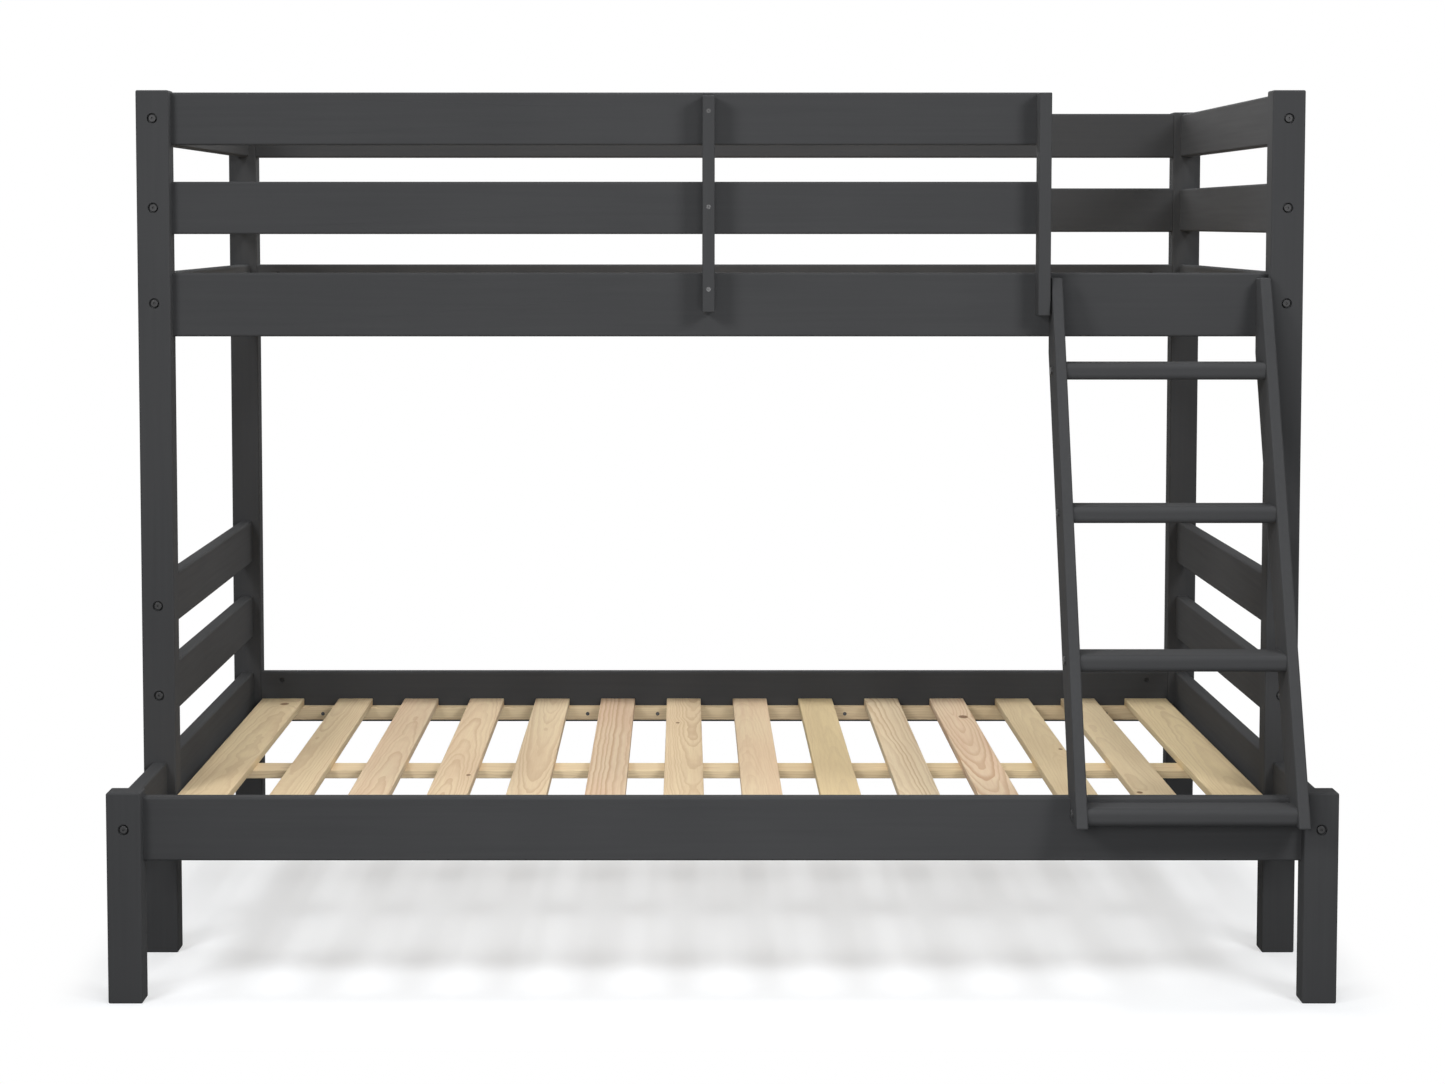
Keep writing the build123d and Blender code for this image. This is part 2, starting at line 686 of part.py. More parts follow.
def bolt(length):
    """A button-head bolt, its head above the origin and its shank below."""
    with BuildPart() as piece:
        with BuildSketch(Plane.XY):
            Circle(bolt_head_radius)
        extrude(amount=bolt_head_height)
        fillet(piece.faces().sort_by(Axis.Z)[-1].edges(), bolt_head_round)
        with BuildSketch(Plane.XY):
            Circle(bolt_radius)
        extrude(amount=-length)
        with BuildSketch(Plane.XY.offset(bolt_head_height)):
            RegularPolygon(bolt_socket_size / 2, bolt_socket_sides, major_radius=False)
        extrude(amount=-bolt_socket_depth, mode=Mode.SUBTRACT)
    return piece.part


def screw(length):
    """A countersunk wood screw, its head level with the origin and its point below."""
    neck = (screw_head_radius - screw_radius) / tan(radians(screw_cone_angle / 2))
    with BuildPart() as piece:
        with BuildSketch(Plane.XZ):
            with BuildLine():
                Polyline(
                    (0, 0), (screw_head_radius, 0), (screw_radius, -neck),
                    (screw_radius, screw_radius - length), (0, -length), close=True,
                )
            make_face()
        revolve(axis=Axis.Z)
        Hole(screw_recess_radius, screw_recess_depth)
    return piece.part


def barrel_nut():
    """A slotted barrel nut along Z, threaded across its middle along X."""
    with BuildPart() as piece:
        with BuildSketch(Plane.XY.offset(-nut_length / 2)):
            Circle(nut_radius)
        extrude(amount=nut_length)
        with BuildSketch(Plane.XY.offset(nut_length / 2)):
            Rectangle(2 * nut_radius, nut_slot_width)
        extrude(amount=-nut_slot_depth, mode=Mode.SUBTRACT)
        with Locations(Plane.YZ.offset(nut_radius)):
            Hole(nut_thread_radius, 2 * nut_radius)
    return piece.part


def rod(radius, length, end_round):
    """A round rod along Z with its middle at the origin."""
    with BuildPart() as piece:
        with BuildSketch(Plane.XY.offset(-length / 2)):
            Circle(radius)
        extrude(amount=length)
        chamfer(piece.edges(), end_round)
    return piece.part


def group(name, members):
    """Copies of small pieces at all their places, kept as separate solids in one file."""
    with BuildPart() as pieces:
        for shape, planes in members:
            with Locations(*planes):
                add(shape)
    finish(pieces, name)


# Bolts with their heads sunk in posts and legs and proud on the ladder, and the headless studs
group("frame_bolts", [
    (bolt(end_bolt_length), sunk_by(bolt_seat_depth, end_bolts)),
    (bolt(side_bolt_length), sunk_by(bolt_seat_depth, side_bolts)),
    (bolt(ladder_bolt_length), ladder_bolts),
    (rod(bolt_radius, tie_stud_length, rod_chamfer), sunk_by(post_depth / 2, tie_studs)),
])
group("barrel_nuts", [(barrel_nut(), nuts)])
group("dowels", [(rod(dowel_radius, dowel_length, rod_chamfer), dowels)])
group("screws", [
    (screw(upright_screw_length), middle_screws + end_screws),
    (screw(ladder_screw_length), upper_ladder_screws + lower_ladder_screws),
    (screw(batten_screw_length), batten_screws),
    (screw(strip_screw_length), strip_screws),
])
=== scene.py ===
"""Bunk bed: an anthracite single berth over a wide one, with bare pine slats and a leaning ladder."""

from math import atan, radians

import bmesh
import bpy
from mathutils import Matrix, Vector


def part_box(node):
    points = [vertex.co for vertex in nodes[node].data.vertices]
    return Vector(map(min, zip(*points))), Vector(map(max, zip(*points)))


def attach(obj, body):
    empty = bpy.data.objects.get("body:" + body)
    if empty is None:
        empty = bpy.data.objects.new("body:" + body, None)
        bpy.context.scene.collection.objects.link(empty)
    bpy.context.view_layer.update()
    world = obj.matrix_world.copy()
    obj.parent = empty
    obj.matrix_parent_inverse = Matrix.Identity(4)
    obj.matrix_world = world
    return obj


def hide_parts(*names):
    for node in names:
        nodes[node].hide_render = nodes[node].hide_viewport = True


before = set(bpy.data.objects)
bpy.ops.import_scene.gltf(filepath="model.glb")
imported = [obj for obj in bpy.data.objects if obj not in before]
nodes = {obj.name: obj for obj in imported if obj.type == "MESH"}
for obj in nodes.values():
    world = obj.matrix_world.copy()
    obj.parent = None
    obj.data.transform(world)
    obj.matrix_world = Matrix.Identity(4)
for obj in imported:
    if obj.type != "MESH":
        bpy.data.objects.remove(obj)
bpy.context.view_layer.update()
mm = 0.001
same_place = 0.002 * mm
end_zone = 1.2 * mm
least_head = 1 * mm

# Camera, in the photograph's own terms
image_width = 1445
image_height = 1084
sensor_width = 36
focal_length = 2734.3
sight_line = (685.46, 396)
horizon_row = 221.6
camera_place = (-0.0597, -4.9833, 1.2649)

# Lamps: name, place and aim in metres, width and height, and power
softboxes = [
    ("overhead softbox", (0, -0.1, 3.1), (0, -0.1, 0), 0.65, 1.4, 41),
    ("left softbox", (-2.0, -2.5, 2.5), (0, 0, 0.8), 0.9, 0.8, 48),
    ("right softbox", (2.0, -2.5, 2.5), (0, 0, 0.8), 0.9, 0.8, 48),
    ("low front softbox", (0.1, -2.3, 0.75), (0.1, 0, 0.5), 0.9, 0.5, 16.5),
    ("rear softbox", (0, 3.2, 2.2), (0, 0, 0.6), 2.4, 1.2, 48),
    ("left end softbox", (-2.5, 0.2, 1.1), (-1, 0.1, 0.9), 0.8, 1.0, 5),
    ("right end softbox", (2.5, 0.2, 1.1), (1, 0.1, 0.9), 0.8, 1.0, 5),
]
ambient_light = 0.20

# Floor: how far it reaches, its greys, and how far beyond the bed's footprint its shadow fades out
floor_reach = 30
floor_bounce = (0.25, 0.25, 0.25, 1)
floor_shaded = (0.53, 0.545, 0.565, 1)
floor_lift = 0.51
shadow_half_length = 0.99
shadow_half_depth = 0.62
shadow_fade = 0.26
end_fade_share = 2.0

# Paint and timber colours
paint_shadow = (0.048, 0.049, 0.051)
paint_light = (0.054, 0.055, 0.057)
pine_pale = (0.745, 0.63, 0.44)
pine_pink = (0.76, 0.575, 0.42)
pine_honey = (0.76, 0.62, 0.36)
pine_late = (0.54, 0.40, 0.25)
pine_rust = (0.56, 0.36, 0.23)
# Battens, strip and dowels: pine paler than the slats', partly a paler timber and partly painted light on
# faces that sit in the slats' shade
batten_pale_painted_light = (0.88, 0.74, 0.50)
knot_brown = (0.16, 0.075, 0.035)
timber_specular = 0.03
paint_roughness = (0.84, 0.72)
pine_roughness = (0.85, 0.72)

# How the grain lies: timbers are turned until it runs along Y
along_x = (0, 0, radians(90))
upright = (radians(90), 0, 0)
leaning = (radians(90 - 22.1), 0, 0)

# Each lower board: its pith's side offset, depth and lean, and its rings' width, in mm and mm per m;
# then how strong its rings are, and how pink and how honey-coloured it is
board_sawing = [
    (14, 46, 10, 3.4, 0.60, 0.2, 0.5),
    (-20, 30, -14, 3.6, 0.55, 0.4, 0.4),
    (12, 30, 22, 3.8, 0.60, 0.7, 0.1),
    (-6, 22, 34, 4.6, 0.65, 0.6, 0.2),
    (4, 26, -30, 5.4, 0.60, 0.5, 0.2),
    (55, 42, 3, 8.0, 0.95, 0.8, 0.0),
    (18, 40, -18, 3.0, 0.75, 0.4, 0.3),
    (-16, 28, 26, 3.6, 0.30, 0.7, 0.2),
    (8, 34, 20, 3.6, 0.30, 0.1, 0.9),
    (-42, 38, 26, 6.4, 0.95, 0.2, 0.0),
    (-4, 20, -58, 6.8, 1.00, 0.9, 0.0),
    (14, 32, 24, 3.4, 0.35, 0.1, 0.5),
    (-18, 44, 12, 3.4, 0.40, 0.2, 0.4),
    (10, 24, 18, 3.6, 0.50, 0.1, 0.7),
]
# Small knots: a board's number from the left, its place across and along, and its radius, in mm
board_knots = {
    0: (10, 540, 7),
    3: (24, -180, 4),
    6: (-12, 330, 4),
    10: (14, 395, 9),
    11: (26, 60, 4),
    12: (-26, -330, 5),
}
# Battens and strip: board number, sawing in m, the finger joint's place along it and the timber's middle
batten_ring_width = 3.6 * mm
batten_ring_strength = 0.5
batten_pink = 0.3
batten_honey = 0.3
joined_board_step = 5.0
batten_boards = {
    "front batten pine": (31.0, (0.012, 0.030, 0.006), -0.3, (0, 0.565, -0.25)),
    "rear batten pine": (33.0, (-0.010, 0.026, -0.008), 0.49, (0, -0.62, -0.25)),
    "strip pine": (37.0, (0.016, 0.022, 0.010), 0.043, (0, 0, -0.255)),
}


class Tree:
    """Adds nodes to a node tree and joins them by their sockets' names."""

    def __init__(self, tree):
        self.tree = tree

    def join(self, value, socket):
        if isinstance(value, bpy.types.NodeSocket):
            self.tree.links.new(value, socket)
        else:
            socket.default_value = value

    def add(self, kind, inputs=(), **settings):
        node = self.tree.nodes.new(kind)
        for name, value in settings.items():
            setattr(node, name, value)
        for name, value in dict(inputs).items():
            self.join(value, node.inputs[name])
        return node

    def math(self, operation, *values):
        return self.add("ShaderNodeMath", enumerate(values), operation=operation).outputs[0]

    def vector(self, operation, *values):
        node = self.add("ShaderNodeVectorMath", enumerate(values), operation=operation)
        return node.outputs["Value" if operation == "LENGTH" else "Vector"]

    def combine(self, x=0.0, y=0.0, z=0.0):
        return self.add("ShaderNodeCombineXYZ", {"X": x, "Y": y, "Z": z}).outputs[0]

    def split(self, vector):
        return self.add("ShaderNodeSeparateXYZ", {"Vector": vector}).outputs

    def noise(self, place, scale=1.0, detail=2.0, roughness=0.5):
        sizes = {"Vector": place, "Scale": scale, "Detail": detail, "Roughness": roughness}
        return self.add("ShaderNodeTexNoise", sizes, noise_dimensions="3D").outputs["Fac"]

    def swing(self, noise):
        """A noise value moved to swing around zero."""
        return self.math("SUBTRACT", noise, 0.5)

    def chance(self, value):
        """Three steady random numbers that belong to a value."""
        colour = self.add("ShaderNodeTexWhiteNoise", {"W": value}, noise_dimensions="1D").outputs["Color"]
        return self.add("ShaderNodeSeparateColor", {"Color": colour}).outputs

    def between(self, value, low, high, low_result=0.0, high_result=1.0, easing="SMOOTHSTEP"):
        limits = {"Value": value, "From Min": low, "From Max": high}
        limits |= {"To Min": low_result, "To Max": high_result}
        return self.add("ShaderNodeMapRange", limits, interpolation_type=easing).outputs["Result"]

    def carried(self, title, output):
        """An attribute that a piece's mesh carries."""
        return self.add("ShaderNodeAttribute", attribute_name=title).outputs[output]

    def moved(self, geometry, **places):
        """Geometry with its points, or some of them, in new places."""
        return self.add("GeometryNodeSetPosition", {"Geometry": geometry, **places}).outputs[0]

    def mix(self, share, first, second):
        node = self.add("ShaderNodeMix", data_type="RGBA")
        for socket, value in zip((node.inputs[0], node.inputs[6], node.inputs[7]), (share, first, second)):
            if isinstance(value, tuple):
                value = (*value, 1.0)
            self.join(value, socket)
        return node.outputs[2]


def new_group(name, kind, inputs, outputs):
    """Starts a node group and returns it with its helper, its inputs by name and its output node."""
    group = bpy.data.node_groups.new(name, kind)
    for title, socket_type, value in inputs:
        socket = group.interface.new_socket(title, in_out="INPUT", socket_type=socket_type)
        if value is not None:
            socket.default_value = value
    for title, socket_type in outputs:
        group.interface.new_socket(title, in_out="OUTPUT", socket_type=socket_type)
    tree = Tree(group)
    return group, tree, tree.add("NodeGroupInput").outputs, tree.add("NodeGroupOutput").inputs


def pine_figure_group():
    """Growth rings, fibre and knots of a sawn pine board, from a place on it with Y along the board."""
    group, t, given, result = new_group(
        "pine figure", "ShaderNodeTree",
        [
            ("Place", "NodeSocketVector", None),
            ("Board", "NodeSocketFloat", 0.0),
            ("Sawn", "NodeSocketVector", (0.0, 0.03, 0.02)),
            ("Ring Width", "NodeSocketFloat", 0.0036),
            ("Knot", "NodeSocketVector", (0.0, 0.0, 0.0)),
            ("Wander", "NodeSocketFloat", 0.010),
        ],
        [
            ("Late Wood", "NodeSocketFloat"),
            ("Fibre", "NodeSocketFloat"),
            ("Tone", "NodeSocketFloat"),
            ("Knot", "NodeSocketFloat"),
            ("Height", "NodeSocketFloat"),
        ],
    )
    # Each unevenness has its own grain, counted per metre across and along the board
    seed_step = 3.7
    drift_grain = (7.0, 2.2)
    ripple_grain = (22.0, 11.0)
    thread_grain = (620.0, 16.0)
    streak_grain = (95.0, 2.6)
    ripple_size = 0.0055
    knot_stretch = 0.55
    knot_calm = -0.45
    knot_swell = 1.6
    year_grain = 0.45
    year_unevenness = 1.8
    weakest_ring = 0.35
    patch_share = 0.6

    x, y, z = t.split(given["Place"])
    seed = t.math("MULTIPLY", given["Board"], seed_step)
    pith_x, pith_depth, lean = t.split(given["Sawn"])

    def grained(across, along):
        """The place counted in grains, moved by the board's seed."""
        seeded = [t.math("MULTIPLY_ADD", x, across, seed), t.math("MULTIPLY_ADD", y, along, seed)]
        return t.combine(*seeded, t.math("MULTIPLY", z, across))

    slow = grained(*drift_grain)
    drift = t.swing(t.noise(slow, detail=1.5))
    ripple = t.math("MULTIPLY", t.swing(t.noise(grained(*ripple_grain))), ripple_size)

    knot_x, knot_y, knot_radius = t.split(given["Knot"])
    beside_knot = t.math("SUBTRACT", x, knot_x)
    along_knot = t.math("MULTIPLY", t.math("SUBTRACT", y, knot_y), knot_stretch)
    knot_distance = t.vector("LENGTH", t.combine(beside_knot, along_knot))
    knot_share = t.math("DIVIDE", knot_distance, t.math("ADD", knot_radius, 0.01 * mm))
    calmed = t.math("EXPONENT", t.math("MULTIPLY", knot_share, knot_calm))
    swell = t.math("MULTIPLY", calmed, t.math("MULTIPLY", knot_radius, knot_swell))

    wandered = t.math("MULTIPLY", drift, given["Wander"])
    across = t.math("ADD", t.math("SUBTRACT", x, pith_x), wandered)
    leaned = t.math("MULTIPLY_ADD", y, lean, wandered)
    deep = t.math("ADD", t.math("ADD", z, pith_depth), leaned)
    radius = t.math("ADD", t.vector("LENGTH", t.combine(across, deep)), t.math("ADD", ripple, swell))
    rings = t.math("DIVIDE", radius, given["Ring Width"])
    uneven = t.noise(t.combine(t.math("MULTIPLY", rings, year_grain), seed), detail=1.0)
    rings = t.math("MULTIPLY_ADD", uneven, year_unevenness, rings)
    part = t.math("FRACT", rings)
    year = t.math("FLOOR", rings)
    band = t.math("MULTIPLY", t.between(part, 0.35, 0.90), t.between(part, 1.0, 0.93))
    luck = t.chance(t.math("ADD", year, seed))[0]
    late = t.math("MULTIPLY", band, t.between(luck, 0.0, 1.0, weakest_ring, 1.0, "LINEAR"))

    fibre = t.noise(grained(*thread_grain), roughness=0.6)
    streak = t.noise(grained(*streak_grain))
    patch = t.noise(slow, scale=0.8, detail=1.0)
    tone = t.math("MULTIPLY_ADD", patch, patch_share, t.math("MULTIPLY", streak, 1 - patch_share))
    knot = t.math("MULTIPLY", t.between(knot_share, 1.25, 0.75), t.between(knot_radius, 0.0, mm))
    knot_rings = t.math("MULTIPLY_ADD", t.math("SINE", t.math("MULTIPLY", knot_share, 16.0)), 0.15, 0.8)

    t.join(late, result["Late Wood"])
    t.join(fibre, result["Fibre"])
    t.join(tone, result["Tone"])
    t.join(t.math("MULTIPLY", knot, knot_rings), result["Knot"])
    ridge = t.math("MULTIPLY_ADD", late, 0.5, t.math("MULTIPLY", fibre, 0.5))
    t.join(t.math("SUBTRACT", ridge, t.math("MULTIPLY", knot, 0.4)), result["Height"])
    return group


def paint_film_group():
    """Flat paint on planed pine: a little grain shows through it along Y, under a fine sprayed texture."""
    group, t, given, result = new_group(
        "paint film", "ShaderNodeTree",
        [
            ("Place", "NodeSocketVector", None),
            ("Grain", "NodeSocketFloat", 0.6),
            ("Spray", "NodeSocketFloat", 0.4),
        ],
        [
            ("Tone", "NodeSocketFloat"),
            ("Gloss", "NodeSocketFloat"),
            ("Height", "NodeSocketFloat"),
        ],
    )
    # Counted per metre: the grain across and along the timber, the sprayed dots and the slow clouds
    grain_counts = (150.0, 4.0, 150.0)
    spray_count = 700.0
    cloud_count = 4.0
    grain_in_tone = 0.45
    spray_in_gloss = 0.3

    grain = t.noise(t.vector("MULTIPLY", given["Place"], grain_counts), detail=3.0, roughness=0.55)
    spray = t.noise(given["Place"], scale=spray_count, detail=1.0)
    cloud = t.noise(given["Place"], scale=cloud_count)
    tone = t.math("MULTIPLY_ADD", grain, grain_in_tone, t.math("MULTIPLY", cloud, 1 - grain_in_tone))
    gloss = t.math("MULTIPLY_ADD", spray, spray_in_gloss, t.math("MULTIPLY", grain, 1 - spray_in_gloss))
    t.join(tone, result["Tone"])
    t.join(gloss, result["Gloss"])
    height = t.math("MULTIPLY_ADD", grain, given["Grain"], t.math("MULTIPLY", spray, given["Spray"]))
    t.join(height, result["Height"])
    return group


def new_material(name, metallic=0.0, specular=0.5):
    """Starts a material and returns it with its helper and its shader."""
    material = bpy.data.materials.new(name)
    material.use_nodes = True
    t = Tree(material.node_tree)
    shader = material.node_tree.nodes["Principled BSDF"]
    shader.inputs["Metallic"].default_value = metallic
    shader.inputs["Specular IOR Level"].default_value = specular
    return material, t, shader


def object_place(t, turn=(0.0, 0.0, 0.0), centre=(0.0, 0.0, 0.0)):
    """A place in metres on the object, turned so that the timber lies along Y."""
    place = t.add("ShaderNodeTexCoord").outputs["Object"]
    shift = {"Vector": place, "Location": centre}
    moved = t.add("ShaderNodeMapping", shift, vector_type="POINT").outputs[0]
    return t.add("ShaderNodeMapping", {"Vector": moved, "Rotation": turn}, vector_type="POINT").outputs[0]


def roughness_from(t, value, low, high, limits, shader):
    """Roughness that runs between two limits as a value runs from low to high."""
    t.join(t.between(value, low, high, *limits, "LINEAR"), shader.inputs["Roughness"])


def bumped(t, height, strength, distance, shader):
    """Small relief from a height."""
    bump = t.add("ShaderNodeBump", {"Strength": strength, "Distance": distance, "Height": height})
    t.join(bump.outputs[0], shader.inputs["Normal"])


def painted_timber(name, film, turn):
    """Flat anthracite paint over pine whose grain the turn lays along Y."""
    material, t, shader = new_material(name, specular=timber_specular)
    paint = t.add("ShaderNodeGroup", node_tree=film)
    t.join(object_place(t, turn), paint.inputs["Place"])
    colour = t.mix(t.between(paint.outputs["Tone"], 0.25, 0.75), paint_shadow, paint_light)
    t.join(colour, shader.inputs["Base Color"])
    roughness_from(t, paint.outputs["Gloss"], 0.2, 0.8, paint_roughness, shader)
    bumped(t, paint.outputs["Height"], 0.06, 0.6 * mm, shader)
    return material


def bare_pine(name, figure, joined=None):
    """Planed pine without a finish. Slats carry their sawing and hue; joined timbers are given them."""
    material, t, shader = new_material(name, specular=timber_specular)
    wood = t.add("ShaderNodeGroup", node_tree=figure)
    if joined is None:
        for socket, attribute, output in (
            ("Place", "board_place", "Vector"),
            ("Board", "board", "Fac"),
            ("Sawn", "sawn", "Vector"),
            ("Knot", "knot", "Vector"),
            ("Ring Width", "ring_width", "Fac"),
        ):
            t.join(t.carried(attribute, output), wood.inputs[socket])
        strength, pink, honey = t.split(t.carried("hue", "Vector"))
        pale, seamed = pine_pale, 0.0
    else:
        board, sawn, seam, centre = joined
        place = object_place(t, along_x, centre)
        x, y, z = t.split(place)
        beyond = t.math("GREATER_THAN", y, seam)
        seamed = t.between(t.math("ABSOLUTE", t.math("SUBTRACT", y, seam)), 0.0, 1.2 * mm, 0.7, 0.0)
        t.join(place, wood.inputs["Place"])
        t.join(t.math("MULTIPLY_ADD", beyond, joined_board_step, board), wood.inputs["Board"])
        wood.inputs["Sawn"].default_value = sawn
        wood.inputs["Ring Width"].default_value = batten_ring_width
        # Joined timbers take the batten pine, whose extra paleness is partly painted light
        pale, strength, pink = batten_pale_painted_light, batten_ring_strength, batten_pink
        honey = t.math("MULTIPLY_ADD", beyond, batten_honey, batten_honey)
    patchy = t.math("MULTIPLY", pink, t.between(wood.outputs["Tone"], 0.35, 0.62, 0.4, 1.0))
    pale = t.mix(honey, t.mix(patchy, pale, pine_pink), pine_honey)
    late = t.mix(pink, pine_late, pine_rust)
    pale = t.mix(t.between(wood.outputs["Tone"], 0.35, 0.70, 0.0, 0.30), pale, late)
    ringed = t.mix(t.math("MULTIPLY", wood.outputs["Late Wood"], strength), pale, late)
    threads = t.mix(t.between(wood.outputs["Fibre"], 0.35, 0.8, 0.0, 0.24), ringed, late)
    threads = t.mix(seamed, threads, knot_brown)
    knotted = t.mix(wood.outputs["Knot"], threads, knot_brown)
    t.join(knotted, shader.inputs["Base Color"])
    roughness_from(t, wood.outputs["Height"], 0.2, 0.8, pine_roughness, shader)
    bumped(t, wood.outputs["Height"], 0.25, 0.4 * mm, shader)
    return material


def blackened_steel(name, colour, dusty, metallic, roughness):
    """Metal with a fine tumbled texture."""
    speckle_count = 1600.0
    smear_count = 160.0
    roughness_swing = 0.08

    material, t, shader = new_material(name, metallic=metallic)
    place = t.add("ShaderNodeTexCoord").outputs["Object"]
    speckle = t.noise(place, scale=speckle_count)
    smear = t.noise(place, scale=smear_count, detail=1.0)
    t.join(t.mix(smear, colour, dusty), shader.inputs["Base Color"])
    roughness_from(t, speckle, 0.2, 0.8, (roughness - roughness_swing, roughness + roughness_swing), shader)
    bumped(t, speckle, 0.2, 0.1 * mm, shader)
    return material


def link(name, mesh):
    piece = bpy.data.objects.new(name, mesh)
    bpy.context.scene.collection.objects.link(piece)
    return piece


def grow(name, places, carried, tree, sizes):
    """Runs a Geometry Nodes tree on points that carry attributes, and keeps the mesh that it makes."""
    points = bpy.data.meshes.new(name + " places")
    points.from_pydata([tuple(place) for place in places], [], [])
    for title, values in carried.items():
        if isinstance(values[0], (int, float)):
            column = points.attributes.new(title, "FLOAT", "POINT")
            column.data.foreach_set("value", [float(value) for value in values])
        else:
            column = points.attributes.new(title, "FLOAT_VECTOR", "POINT")
            column.data.foreach_set("vector", [component for value in values for component in value])
    piece = link(name, points)
    modifier = piece.modifiers.new(name, "NODES")
    modifier.node_group = tree
    for socket in tree.interface.items_tree:
        if socket.in_out == "INPUT" and socket.name in sizes:
            modifier[socket.identifier] = sizes[socket.name]
    evaluated = piece.evaluated_get(bpy.context.evaluated_depsgraph_get())
    grown = bpy.data.meshes.new_from_object(evaluated)
    piece.modifiers.remove(modifier)
    piece.data = grown
    grown.name = name
    return piece


def named(t, title, kind="FLOAT"):
    """An attribute that the points carry."""
    node = t.add("GeometryNodeInputNamedAttribute", {"Name": title}, data_type=kind)
    return next(socket for socket in node.outputs if socket.enabled and socket.name == "Attribute")


def slat_row_tree():
    """A row of eased boards, one on each point, with the place on the board kept for its wood."""
    group, t, given, result = new_group(
        "slat row", "GeometryNodeTree",
        [
            ("Geometry", "NodeSocketGeometry", None),
            ("Width", "NodeSocketFloat", 0.07),
            ("Thickness", "NodeSocketFloat", 0.0145),
            ("Length", "NodeSocketFloat", 1.2),
            ("Edge Round", "NodeSocketFloat", 0.0015),
            ("End Ease", "NodeSocketFloat", 0.0007),
            ("Stray", "NodeSocketFloat", 0.0008),
            ("Seed", "NodeSocketInt", 5),
            ("Wood", "NodeSocketMaterial", None),
        ],
        [("Geometry", "NodeSocketGeometry")],
    )
    stations = 26
    corner_steps = 4
    board_seed, row_seed = 9.3, 1.7
    bends_per_metre = 0.9

    half_length = t.math("DIVIDE", given["Length"], 2.0)
    line = t.add("GeometryNodeMeshLine", {"Count": stations}, mode="OFFSET")
    index = t.add("GeometryNodeInputIndex").outputs[0]
    ease = given["End Ease"]
    inner = t.math("SUBTRACT", half_length, ease)
    along = t.between(index, 1.0, stations - 2.0, -1.0, 1.0, "LINEAR")
    is_last = t.math("GREATER_THAN", index, stations - 1.5)
    is_first = t.math("LESS_THAN", index, 0.5)
    beyond = t.math("MULTIPLY", t.math("SUBTRACT", is_last, is_first), ease)
    station_y = t.math("MULTIPLY_ADD", along, inner, beyond)
    line = t.moved(line.outputs[0], Position=t.combine(0.0, station_y, 0.0))
    path = t.add("GeometryNodeMeshToCurve", {"Mesh": line})
    path = t.add("GeometryNodeSetCurveNormal", {"Curve": path.outputs[0]}, mode="Z_UP")
    sides = {"Width": given["Width"], "Height": given["Thickness"]}
    section = t.add("GeometryNodeCurvePrimitiveQuadrilateral", sides)
    rounding = {"Curve": section.outputs[0], "Count": corner_steps, "Radius": given["Edge Round"]}
    section = t.add("GeometryNodeFilletCurve", rounding, mode="POLY")
    sweep = {"Curve": path.outputs[0], "Profile Curve": section.outputs[0], "Fill Caps": True}
    board = t.add("GeometryNodeCurveToMesh", sweep)
    place = t.add("GeometryNodeInputPosition").outputs[0]
    along_board = t.split(place)[1]
    end_line = t.math("MULTIPLY_ADD", ease, 0.5, inner)
    at_end = t.math("GREATER_THAN", t.math("ABSOLUTE", along_board), end_line)

    def eased(size):
        return t.math("SUBTRACT", 1.0, t.math("DIVIDE", t.math("MULTIPLY", ease, 2.0), size))

    pulled = t.vector("MULTIPLY", place, t.combine(eased(given["Width"]), 1.0, eased(given["Thickness"])))
    board = t.moved(board.outputs[0], Selection=at_end, Position=pulled)
    kept = {"Geometry": board, "Name": "board_place", "Value": place}
    board = t.add("GeometryNodeStoreNamedAttribute", kept, data_type="FLOAT_VECTOR", domain="POINT")
    placed = {"Points": given["Geometry"], "Instance": board.outputs[0]}
    placed["Scale"] = t.combine(named(t, "breadth"), 1.0, 1.0)
    row = t.add("GeometryNodeInstanceOnPoints", placed)
    boards = t.add("GeometryNodeRealizeInstances", {"Geometry": row.outputs[0]})
    seed = t.math("MULTIPLY_ADD", named(t, "board"), board_seed, t.math("MULTIPLY", given["Seed"], row_seed))
    bend = t.noise(t.combine(seed, t.math("MULTIPLY", along_board, bends_per_metre)), detail=0.0)
    stray = t.math("MULTIPLY", t.swing(bend), t.math("MULTIPLY", given["Stray"], 2.0))
    boards = t.moved(boards.outputs[0], Offset=t.combine(stray, 0.0, 0.0))
    finished = t.add("GeometryNodeSetMaterial", {"Geometry": boards, "Material": given["Wood"]})
    t.join(finished.outputs[0], result["Geometry"])
    return group


